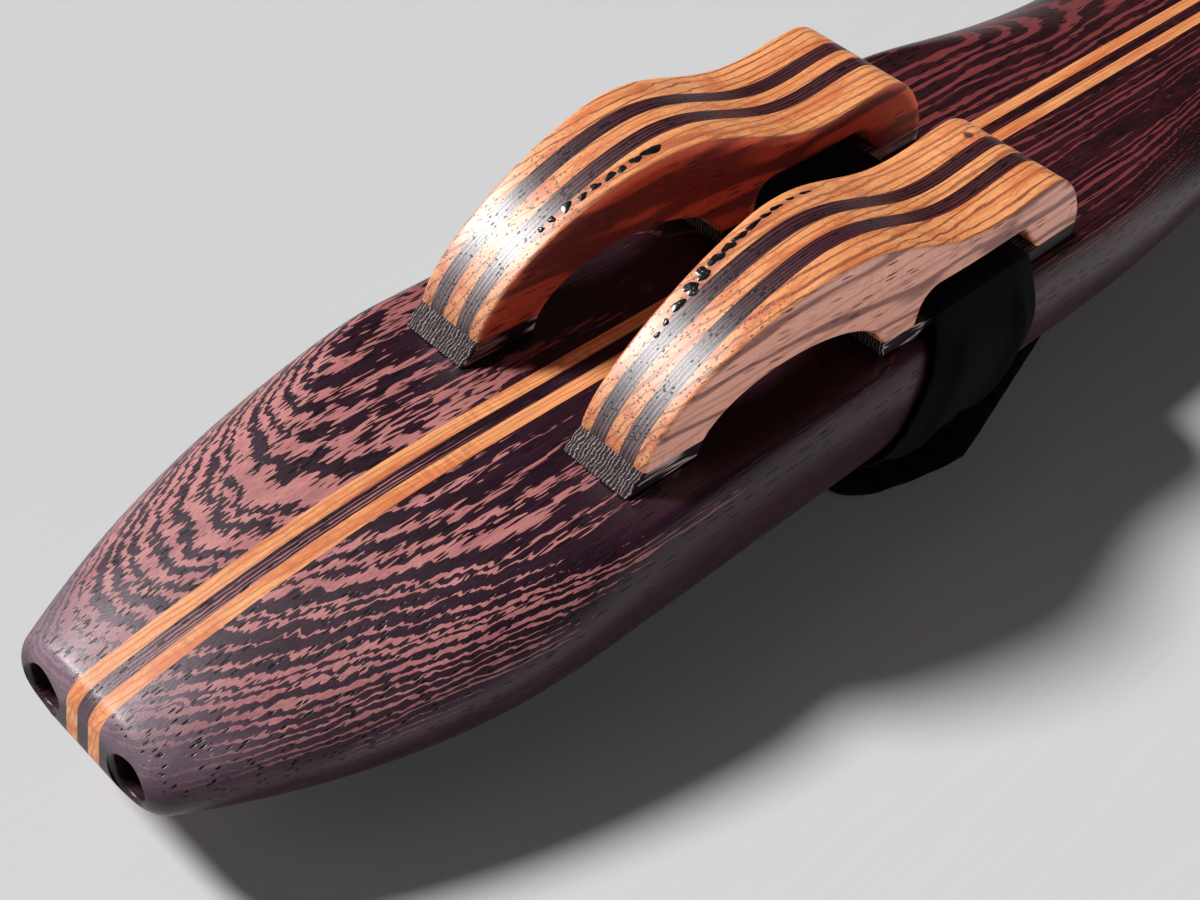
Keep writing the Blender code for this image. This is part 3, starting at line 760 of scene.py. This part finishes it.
def strip_rings(right_edge, left_edge, upper):
    """Rings of one strip half: a rectangle from the bore axis to the top or to the belly."""
    x, inset = body_stations()
    _, top, depth, _, _ = body_sizes(x, inset)
    y = np.array([[right_edge, left_edge, left_edge, right_edge]])
    outer = top if upper else -depth
    z = outer * np.array([[0.0, 0.0, 1.0, 1.0]])
    return leaned(x, y, z)


def tube(stations, radii, y, sides=48):
    """A round bar along X: circles of the radii at the stations."""
    turn = full_turn(sides)
    x = np.array(stations)[:, None]
    r = np.array(radii)[:, None]
    return points_at(x, y + r * np.cos(turn), r * np.sin(turn))


def well(x, y, radius, low, high, sides=40):
    """A round bar along Z: a circle at its low and at its high level."""
    turn = full_turn(sides)
    level = np.array([[low], [high]])
    return points_at(x + radius * np.cos(turn), y + radius * np.sin(turn), level)


def chute(start, end, y, half, low, high):
    """A block between two stations, with its height from low to high."""
    corners = np.array([[start, y - half], [end, y - half], [end, y + half], [start, y + half]])
    return np.stack([np.column_stack([corners, np.full(4, level)]) for level in (low, high)])


def hollow(block, shapes):
    """Cut closed shapes out of a block, and keep the result as the block's mesh."""
    group = bpy.data.collections.new("hollows")
    for rings in shapes:
        group.objects.link(bpy.data.objects.new("hollow", loft("hollow", rings)))
    modifier = block.modifiers.new("hollows", "BOOLEAN")
    modifier.operand_type = "COLLECTION"
    modifier.collection = group
    modifier.solver = "EXACT"
    bpy.context.view_layer.update()
    graph = bpy.context.evaluated_depsgraph_get()
    cut_mesh = bpy.data.meshes.new_from_object(block.evaluated_get(graph))
    block.modifiers.clear()
    old = block.data
    block.data = cut_mesh
    cut_mesh.set_sharp_from_angle(angle=SHARP_ANGLE)
    bpy.data.meshes.remove(old)
    for cutter in list(group.objects):
        bpy.data.objects.remove(cutter)
    bpy.data.collections.remove(group)


def pipe_hollows(sign, upper):
    """The hollows of one pipe: flared mouth hole, air chamber and sound bore, and the holes of its roof."""
    y = sign * PIPE_OFFSET
    eased = np.sin(np.linspace(0.0, math.pi / 2, MOUTH_HOLE_ROWS))
    mouth_x = np.concatenate([[-CUT_OVER], MOUTH_HOLE_LIP + MOUTH_HOLE_FLARE * eased, [CHANNEL_END]])
    flare = np.concatenate([[MOUTH_HOLE_FLARE], MOUTH_HOLE_FLARE * (1.0 - eased) ** 2, [0.0]])
    bore = (BORE_RADIUS, BORE_RADIUS)
    shapes = [tube(mouth_x, MOUTH_HOLE_RADIUS + flare, sign * MOUTH_HOLE_OFFSET),
              tube(CHAMBER, bore, y),
              tube((SOUND_BORE_START, LENGTH + CUT_OVER), bore, y, SOUND_BORE_SIDES)]
    if not upper:
        return shapes
    above = TOP + CUT_OVER
    inside = BORE_RADIUS / 2
    for (start, end, width), low in ((EXIT_HOLE, inside), (FLUE, TOP - FLUE_DEPTH), (SOUND_HOLE, inside)):
        shapes.append(chute(start, end, y, width / 2, low, above))
    if sign < 0:
        for k in range(FINGER_HOLES):
            x = FIRST_FINGER_HOLE - k * FINGER_STEP - (k // HOLES_PER_HAND) * HAND_GAP
            shapes.append(well(x, y, FINGER_HOLE_RADIUS, inside, above))
    return shapes


def strip_woods():
    """The wood and the slot of each strip."""
    centre = wenge("centre_wenge", (0.003, 1.0, 0.06), 0.62, wave=0.25, teeth=0.12, cluster=1.2,
                   contrast=0.7, sheen_veil=0.4)
    left = orange_wood("left_accent_orange", (0.01, 1.0, 0.25), 0.9, lines=0.45, on_bird=False)
    right = orange_wood("right_accent_orange", (0.008, 1.0, 0.30), 1.0, lines=0.45, on_bird=False,
                        shift=(9.0, 4.0, 1.0))
    return {"centre_strip": (centre, "dark_wood"), "left_accent": (left, "orange_wood"),
            "right_accent": (right, "orange_wood")}


def add_body():
    """The body: two dark blocks, two orange strips and a dark centre strip, each in two halves."""
    left_wood = wenge("left_wenge", (0.003, 0.09, 1.0), 0.78, balance=0.32, sheen_veil=0.9, start=0.37)
    right_wood = wenge("right_wenge", (0.003, 0.24, 1.0), 0.84, balance=-0.08, cluster=0.8, sheen_veil=0.9,
                       shift=(31.0, 7.0, 3.0))
    woods = strip_woods()
    for half, section in (("top", upper_section), ("bottom", lower_section)):
        upper = half == "top"
        for side, sign, wood in (("left", 1, left_wood), ("right", -1, right_wood)):
            name = f"{side}_block_{half}"
            mesh = loft(name, block_rings(sign, section))
            block = add_piece(name, mesh, wood, "flute_body", [f"{side}_pipe_{half}"])
            hollow(block, pipe_hollows(sign, upper))
        for strip, (right_edge, left_edge) in STRIP_EDGES.items():
            name = f"{strip}_{half}_band"
            mesh = loft(name, strip_rings(right_edge, left_edge, upper))
            wood, slot = woods[strip]
            add_piece(name, mesh, wood, "flute_body", [f"{strip}_{half}"])


def evenly(points, count, closed=False):
    """Rows of values at equal steps along the polyline of their first two columns."""
    steps = np.linalg.norm(np.diff(points[:, :2], axis=0), axis=1)
    run = np.concatenate([[0.0], np.cumsum(steps)])
    wanted = np.linspace(0.0, run[-1], count, endpoint=not closed)
    return np.stack([np.interp(wanted, run, column) for column in points.T], 1)


def round_off(share):
    """Height of a superellipse, from 1 to 0, at a share of its reach."""
    return (1.0 - share ** BIRD_POWER) ** (1 / BIRD_POWER)


def swing(x, start, end):
    """Half a cosine wave, from 0 at start to 1 at end."""
    return (1.0 - np.cos(math.pi * np.clip((x - start) / (end - start), 0.0, 1.0))) / 2


def bird_top(x):
    """Height of a bird over its sole's underside: superellipse front, eased fall and rise, round tail."""
    ahead = np.clip((HUMP[0] - x) / (HUMP[0] - TOE_LEAN), 0.0, 1.0)
    front = SOLE + (HUMP[1] - SOLE) * round_off(ahead)
    fall = HUMP[1] + (DIP[1] - HUMP[1]) * swing(x, HUMP[0], DIP[0])
    rise = (CREST[1] - DIP[1]) * swing(x, DIP[0], CREST[0])
    behind = np.clip((x - CREST[0]) / (BIRD_LENGTH - CREST[0]), 0.0, 1.0)
    rear = CREST[1] * round_off(behind)
    return np.where(x < HUMP[0], front, np.where(x < CREST[0], fall + rise, rear))


def bird_half(x):
    """Half a bird's width, flaring from the toe to the tail."""
    return TOE_HALF + (TAIL_HALF - TOE_HALF) * smooth(x / FLARE_LENGTH)


def tail_at(level):
    """Where the round tail reaches a level."""
    return CREST[0] + (BIRD_LENGTH - CREST[0]) * round_off(level / CREST[1])


def window_at(level):
    """Where the arch's front and rear edges reach a level: half an ellipse."""
    reach = WINDOW_HALF * math.sqrt(1.0 - (level / WINDOW_HEIGHT) ** 2)
    return WINDOW_MIDDLE - reach, WINDOW_MIDDLE + reach


def bird_lines():
    """Upper and lower outline of the planks, paired point by point from the toe to the tail: the bird's
    top, and the sole joint, half ellipse of the arch, rounded strap slot and leg."""
    front, rear = window_at(SOLE)
    rising = np.linspace(math.asin(SOLE / WINDOW_HEIGHT), math.pi / 2, ARCH_POINTS)
    arch = np.stack([WINDOW_MIDDLE - WINDOW_HALF * np.cos(rising), WINDOW_HEIGHT * np.sin(rising)], 1)
    turn = np.linspace(math.pi, math.pi / 2, CORNER_POINTS)
    corner = np.stack([SLOT_AT + SLOT_ROUND * (1 + np.cos(turn)),
                       SLOT_HEIGHT + SLOT_ROUND * (np.sin(turn) - 1)], 1)
    tail = tail_at(SOLE)
    lower = [np.array([(TOE_LEAN, SOLE), (front, SOLE)]),
             arch,
             arch[::-1] * (-1, 1) + (2 * WINDOW_MIDDLE, 0),
             np.array([(rear, SOLE), (SLOT_AT, SOLE)]),
             np.concatenate([[(SLOT_AT, SOLE)], corner]),
             np.array([(SLOT_AT + SLOT_ROUND, SLOT_HEIGHT), (SLOT_ROOF_END, SLOT_HEIGHT)]),
             np.array([(SLOT_ROOF_END, SLOT_HEIGHT), (LEG_AT, SOLE)]),
             np.array([(LEG_AT, SOLE), (tail, SOLE)])]
    turn = np.linspace(0.0, math.pi / 2, DENSE_POINTS)
    steep = TOE_LEAN + (HUMP[0] - TOE_LEAN) * (1.0 - np.cos(turn) ** (2 / BIRD_POWER))
    round_end = CREST[0] + (tail - CREST[0]) * np.sin(turn)
    dense = np.concatenate([steep, np.linspace(HUMP[0], CREST[0], DENSE_POINTS)[1:], round_end[1:]])
    stops = (*STRETCH_STARTS[1:], tail)
    uppers, lowers = [], []
    for start, stop, steps, under in zip(STRETCH_STARTS, stops, STRETCH_STEPS, lower):
        inside = dense[(dense > start) & (dense < stop)]
        x = np.concatenate([[start], inside, [stop]])
        uppers.append(evenly(np.stack([x, bird_top(x)], 1), steps + 1)[:-1])
        lowers.append(evenly(under, steps + 1)[:-1])
    end = [[tail, SOLE]]
    return np.concatenate([*uppers, end]), np.concatenate([*lowers, end])


def sole_lines(start, end):
    """Upper and lower outline of a sole, from a sloping front (lower, upper) to a sloping rear."""
    inner = np.linspace(0.0, 1.0, SOLE_POINTS)[1:-1] * (1.0 - 2 * SOLE_END_GAP) + SOLE_END_GAP
    share = np.concatenate([[0.0, SOLE_END_ROW], inner, [1.0 - SOLE_END_ROW, 1.0]])[:, None]
    upper = np.array([[start[1], SOLE]]) * (1 - share) + np.array([[end[1], SOLE]]) * share
    lower = np.array([[start[0], 0.0]]) * (1 - share) + np.array([[end[0], 0.0]]) * share
    return upper, lower


def outward(loop):
    """Outward normals of a closed outline, from the mean direction of each point's two sides."""
    sides = np.roll(loop, -1, axis=0) - loop
    sides = sides / np.maximum(np.linalg.norm(sides, axis=1, keepdims=True), TINY)
    mean = sides + np.roll(sides, 1, axis=0)
    mean = mean / np.maximum(np.linalg.norm(mean, axis=1, keepdims=True), TINY)
    return np.stack([-mean[:, 1], mean[:, 0]], 1)


def slab(name, upper, lower, levels, corner_x):
    """A plank between an upper and a lower line, carried across through levels of (inset, y of x).

    The inset draws the outline in, which rounds the edges of a show face. Points on a glue joint
    stay, and the ends of a joint, at corner_x, move along it.
    """
    joined = np.allclose(upper[0], lower[0])
    inner = lower[1:-1] if joined else lower
    loop = np.concatenate([upper, inner[::-1]])
    count, around = len(upper), len(loop)
    normal = outward(loop)
    on_joint = (np.abs(loop[:, 1] - SOLE) < ON_LINE) | (np.abs(loop[:, 1]) < ON_LINE)
    corner = on_joint & (np.min(np.abs(loop[:, :1] - np.array([corner_x])), axis=1) < ON_LINE)
    weight = np.where(on_joint & ~corner, 0.0, 1.0)[:, None]
    normal[corner] = np.stack([np.sign(normal[corner, 0]), 0.0 * normal[corner, 1]], 1)
    rings = []
    for inset, y_of in levels:
        drawn = loop - inset * weight * normal
        rings.append(points_at(BIRD_AT + drawn[:, 0], y_of(drawn[:, 0]), SOLE_LEVEL + drawn[:, 1]))
    top_row = np.arange(count)
    low_row = around - np.arange(1, count + 1) + int(joined)
    low_row[0] = 0 if joined else around - 1
    low_row[-1] = count - 1 if joined else count
    faces = ring_faces(len(rings), around, False)
    caps = np.stack([top_row[:-1], top_row[1:], low_row[1:], low_row[:-1]], 1)
    for start in (0, (len(rings) - 1) * around):
        faces += [list(dict.fromkeys(face)) for face in (caps + start).tolist()]
    return new_mesh(name, np.array(rings), faces)


def rounded_levels(middle, way):
    """Levels of a plank's round outer edge: a quarter circle of inset against the flared face."""
    turn = np.linspace(math.pi / 2, 0.0, EDGE_ROWS)
    return [(BIRD_EDGE * (1.0 - math.sin(t)),
             lambda x, t=t: middle + way * (bird_half(x) - BIRD_EDGE * (1.0 - math.cos(t))))
            for t in turn]


def level_at(y):
    """A level with no inset, at one y."""
    return 0.0, lambda x: np.full_like(x, y)


def bird_woods(side, sign):
    """The woods of one bird's pieces."""
    shift = (13.0 * sign, 5.0 * sign, 2.0)
    back = shift[::-1]
    knot = ((BIRD_AT + KNOT[0]) * MM, sign * (PIPE_OFFSET - KNOT[1]) * MM, 0.0)
    stripe = {"balance": -0.35, "wave": 0.3, "teeth": 0.12, "cluster": 1.0, "contrast": 0.5, "on_bird": True}
    woods = {"core": orange_wood(f"{side}_core_orange", (0.0, 0.9, 0.35), 1.2, shift=shift),
             "sole": end_grain(f"{side}_sole_grain", shift)}
    for place, tilt, period, start in (("outer", 0.10, 0.62, shift), ("inner", 0.06, 0.66, back)):
        name = f"{side}_{place}_stripe_wenge"
        woods[f"{place}_stripe"] = wenge(name, (0.0, 1.0, tilt), period, shift=start, **stripe)
    woods["outer_plank"] = orange_wood(f"{side}_outer_orange", (0.01, 0.85, 0.45), 1.4, lines=0.85,
                                       veins=0.8, flank=OUTER_FLANK_PAINTED_LIGHT, shift=shift)
    woods["inner_plank"] = orange_wood(f"{side}_inner_orange", (0.01, 0.85, 0.42), 1.5, lines=0.65,
                                       veins=0.9, vein_width=0.24, flank=INNER_FLANK_PAINTED_SHADE, stain_side=sign,
                                       knot=knot if side == "right" else None, shift=back)
    return woods


def add_bird(side, sign):
    """One bird: an orange core, dark stripes and orange planks on a dark sole parted by the arch."""
    body = f"{side}_bird"
    middle = sign * PIPE_OFFSET
    upper, lower = bird_lines()
    front, rear = window_at(SOLE)
    tail = tail_at(SOLE)
    woods = bird_woods(side, sign)
    inner_edge, outer_edge = LAMELLA_EDGES
    levels = {"core": [level_at(middle - inner_edge), level_at(middle + inner_edge)]}
    for place, way in (("outer", sign), ("inner", -sign)):
        levels[f"{place}_stripe"] = [level_at(middle + way * inner_edge), level_at(middle + way * outer_edge)]
        levels[f"{place}_plank"] = [level_at(middle + way * outer_edge), *rounded_levels(middle, way)]
    for part, stack in levels.items():
        mesh = slab(f"{body}_{part}", upper, lower, stack, (TOE_LEAN, front, rear, SLOT_AT, LEG_AT, tail))
        add_piece(f"{body}_{part}_wood", mesh, woods[part], body, [f"{body}_{part}"])

    across = [*rounded_levels(middle, -1)[::-1], *rounded_levels(middle, 1)]
    soles = {"toe_sole": ((0.0, TOE_LEAN), (WINDOW[0], front)),
             "rear_sole": ((WINDOW[1], rear), (BIRD_LENGTH, tail))}
    for part, (start, end) in soles.items():
        sole_upper, sole_lower = sole_lines(start, end)
        mesh = slab(f"{body}_{part}", sole_upper, sole_lower, across, (*start, *end))
        add_piece(f"{body}_{part}_wood", mesh, woods["sole"], body, [f"{body}_{part}"])


def add_resin(side, sign, seed, resin):
    """Resin in a row of pockets by a bird's inner edge: flat lumps with rims of sine waves, half sunk
    in the bird's top."""
    draw = np.random.default_rng(seed)
    pockets = np.array(RESIN_POCKETS[side])[:, :, None, None] / MM
    phases = draw.uniform(0.0, math.tau, (len(RESIN_RIM), len(pockets), 1, 1))
    polar = np.linspace(RESIN_POLE, math.pi - RESIN_POLE, RESIN_ROWS)[None, :, None]
    around = full_turn(RESIN_POINTS)[None, None, :]
    rim = 1.0
    for (waves, size), phase in zip(RESIN_RIM, phases):
        rim = rim + size * np.sin(waves * around + phase)
    x, row, half_length, half_width = (pockets[:, k] for k in range(4))
    along = x + half_length * rim * np.sin(polar) * np.cos(around)
    aside = row + half_width * rim * np.sin(polar) * np.sin(around)
    level = bird_top(along) - RESIN_DEPTH + RESIN_RISE * np.cos(polar)
    lumps = points_at(BIRD_AT + along, sign * (PIPE_OFFSET - aside), SOLE_LEVEL + level)
    count, rows, spots = lumps.shape[:3]
    sides = np.array(ring_faces(rows, spots, False))
    first = np.arange(count)[:, None, None] * rows * spots
    faces = (first + sides).reshape(-1, 4).tolist()
    ends = np.stack([np.arange(spots), (rows - 1) * spots + np.arange(spots)])
    faces += (first + ends).reshape(-1, spots).tolist()
    mesh = new_mesh(f"{side}_bird_resin", lumps, faces)
    add_piece(f"{side}_bird_resin", mesh, resin, f"{side}_bird")


def strap_wrap():
    """The strap's way round body and soles: the support points of their outline for each direction,
    with the outward direction of each, at even steps."""
    x = np.array([[STRAP_AT]])
    section = np.concatenate([upper_section(x, 0.0 * x), lower_section(x, 0.0 * x)], 2)[:, 0].T
    half = np.concatenate([section, [[NEST_FLAT, STRAP_LEVEL]]])
    outline = np.concatenate([half, half * (-1, 1)])
    turn = np.linspace(-math.pi / 2, 1.5 * math.pi, WRAP_DIRECTIONS, endpoint=False)
    facing = np.stack([np.cos(turn), np.sin(turn)], 1)
    held = outline[np.argmax(outline @ facing.T, axis=0)]
    path = np.concatenate([held + STRAP_GAP * facing, facing], 1)
    even = evenly(np.concatenate([path, path[:1]]), STRAP_ROWS, closed=True)
    even[:, 2:] /= np.linalg.norm(even[:, 2:], axis=1, keepdims=True)
    return even[:, :2], even[:, 2:]


def add_strap():
    """The strap: a superellipse carried along its way, with lengthwise folds, bell curves across it, down
    the sides."""
    held, facing = strap_wrap()
    drop = STRAP_LEVEL - held[:, 1]
    half = (STRAP_NECK + (STRAP_WIDTH - STRAP_NECK) * smooth(drop / STRAP_DROP)) / 2
    centre = STRAP_AT - STRAP_SLANT * smooth(drop / STRAP_SLANT_DROP)
    turn = full_turn(STRAP_POINTS)[None, :]
    across = signed_power(np.cos(turn), STRAP_EDGE_POWER)
    through = signed_power(np.sin(turn), STRAP_FACE_POWER)
    slack = (smooth(drop / SLACK_START) * smooth((SLACK_END - drop) / SLACK_FADE))[:, None]
    folds = sum(size * np.exp(-((across - place) / width) ** 2) for place, width, size in FOLDS)
    lift = STRAP_THICKNESS / 2 * (1.0 + through) + FOLD_HEIGHT * slack * folds
    x = centre[:, None] + half[:, None] * across
    y = held[:, :1] + facing[:, :1] * lift
    z = held[:, 1:] + facing[:, 1:] * lift
    mesh = loft("strap_band", points_at(x, y, z), closed=True)
    suede = black_suede("strap_suede", STRAP_LIGHTNESS)
    band = add_piece("strap_band", mesh, suede, "flute_body", ["strap"])
    steps = np.linalg.norm(np.diff(held, axis=0, append=held[:1]), axis=1)
    (2 * half * steps).sum()


def add_flap():
    """The strap's loose end on the table: a sheet whose edge runs out in a power curve to the corner and
    straight back to the end."""
    share = np.concatenate([np.linspace(0.0, 1.0, FLAP_FRONT_ROWS)[:-1] ** 2,
                            np.linspace(1.0, 2.0, FLAP_BACK_ROWS)])[:, None]
    front = np.clip(share, 0.0, 1.0)
    back = np.clip(share - 1.0, 0.0, 1.0)
    reach = front ** FLAP_CURVE_POWER - FLAP_NICK * np.exp(-((share - 1.0) / FLAP_NICK_WIDTH) ** 2)
    x = FLAP_TIP[0] + (FLAP_CORNER[0] - FLAP_TIP[0]) * front + (FLAP_END[0] - FLAP_CORNER[0]) * back
    edge = FLAP_TIP[1] + (FLAP_CORNER[1] - FLAP_TIP[1]) * reach + (FLAP_END[1] - FLAP_CORNER[1]) * back
    turn = full_turn(FLAP_POINTS)[None, :]
    inward = (1.0 + signed_power(np.cos(turn), FLAP_EDGE_POWER)) / 2
    through = (1.0 + signed_power(np.sin(turn), STRAP_FACE_POWER)) / 2
    y = edge + (FLAP_TUCK - edge) * inward
    wave = 1.0 - FLAP_RIPPLE + FLAP_RIPPLE * np.sin(FLAP_RIPPLE_ALONG * x + FLAP_RIPPLE_ASIDE * y)
    z = -REST_DEPTH + FLAP_GAP + FLAP_THICKNESS * through * wave
    mesh = loft("strap_flap", points_at(x, y, z))
    suede = black_suede("flap_suede", FLAP_LIGHTNESS)
    flap = add_piece("strap_flap", mesh, suede, "flute_body", ["strap_tail"])
    width = FLAP_TUCK - edge[:, 0]
    cut = np.diff(x[:, 0]) @ (width[1:] + width[:-1]) / 2


def add_table():
    """A pale table top under the flute, wide enough to reach out of sight."""
    corners = TABLE_REACH * np.array([[-1, -1, 0], [1, -1, 0], [1, 1, 0], [-1, 1, 0]])
    mesh = bpy.data.meshes.new("table")
    mesh.from_pydata(corners.tolist(), [], [[0, 1, 2, 3]])
    mesh.materials.append(table_top())
    add_object("table", mesh)


def towards(azimuth, elevation):
    """The unit vector towards a direction, in degrees."""
    a = math.radians(azimuth)
    e = math.radians(elevation)
    return np.array([math.cos(e) * math.cos(a), math.cos(e) * math.sin(a), math.sin(e)])


def axes_from(azimuth, elevation):
    """Right, up and back of a lamp or camera that looks at the flute from a direction, in degrees."""
    back = towards(azimuth, elevation)
    side = np.cross(UPWARD, back)
    side /= np.linalg.norm(side)
    return side, np.cross(back, side), back


def add_sun(name, azimuth, elevation, strength, spread, tint, sheen=True):
    """A far lamp from a direction, with a soft edge of spread degrees, with or without sheen."""
    lamp = bpy.data.lights.new(name, "SUN")
    lamp.energy = strength
    lamp.angle = math.radians(spread)
    lamp.color = tint
    made = add_object(name, lamp)
    made.visible_glossy = sheen
    made.matrix_world = Matrix(np.column_stack(axes_from(azimuth, elevation)).tolist()).to_4x4()


def add_light():
    """A key lamp from the left, one before the mouth end, a low fill, and a dim surround with two glows."""
    add_sun("key", 113.0, 45.0, strength=4.15, spread=13.0, tint=(1.0, 0.99, 0.97))
    add_sun("front", 150.0, 21.0, strength=0.25, spread=40.0, tint=(0.97, 0.98, 1.0))
    add_sun("fill", 274.0, 4.0, strength=1.25, spread=8.0, tint=(1.0, 0.98, 0.97), sheen=False)
    world = bpy.data.worlds.new("surround")
    world.use_nodes = True
    bpy.context.scene.world = world
    point = Wire(world.node_tree).node("TexCoord", output="Generated")
    overhead = point.along(tuple(towards(60.0, 86.0))).between(0.86, 0.99) * 0.09
    aside = point.along(tuple(towards(310.0, 12.0))).between(0.90, 0.98) * 0.60
    glow = (overhead + aside + 0.010).mixed(colour(0.0, 0.0, 0.0), colour(0.97, 0.985, 1.0))
    glow.feed(world.node_tree.nodes["Background"], "Color")


def add_camera():
    """A camera at the photograph's place, angle and field of view."""
    camera = bpy.data.cameras.new("camera")
    camera.sensor_width = SENSOR_WIDTH
    camera.lens = FOCAL_PIXELS * SENSOR_WIDTH / IMAGE_WIDTH
    camera.clip_start = CLIP_START
    made = add_object("camera", camera)
    side, up, back = axes_from(CAMERA_AZIMUTH + 180.0, CAMERA_ELEVATION)
    right = math.cos(CAMERA_ROLL) * side + math.sin(CAMERA_ROLL) * up
    top = math.cos(CAMERA_ROLL) * up - math.sin(CAMERA_ROLL) * side
    turn = Matrix(np.column_stack([right, top, back]).tolist()).to_4x4()
    made.matrix_world = Matrix.Translation(CAMERA_PLACE) @ turn
    bpy.context.scene.camera = made


add_camera()
add_light()
add_table()
add_body()
pocket_resin = black_resin()
for bird_side, bird_sign, resin_seed in (("left", 1, 5), ("right", -1, 8)):
    add_bird(bird_side, bird_sign)
    add_resin(bird_side, bird_sign, resin_seed, pocket_resin)
add_strap()
add_flap()
bpy.context.scene.view_settings.view_transform = "Standard"

bpy.context.view_layer.update()
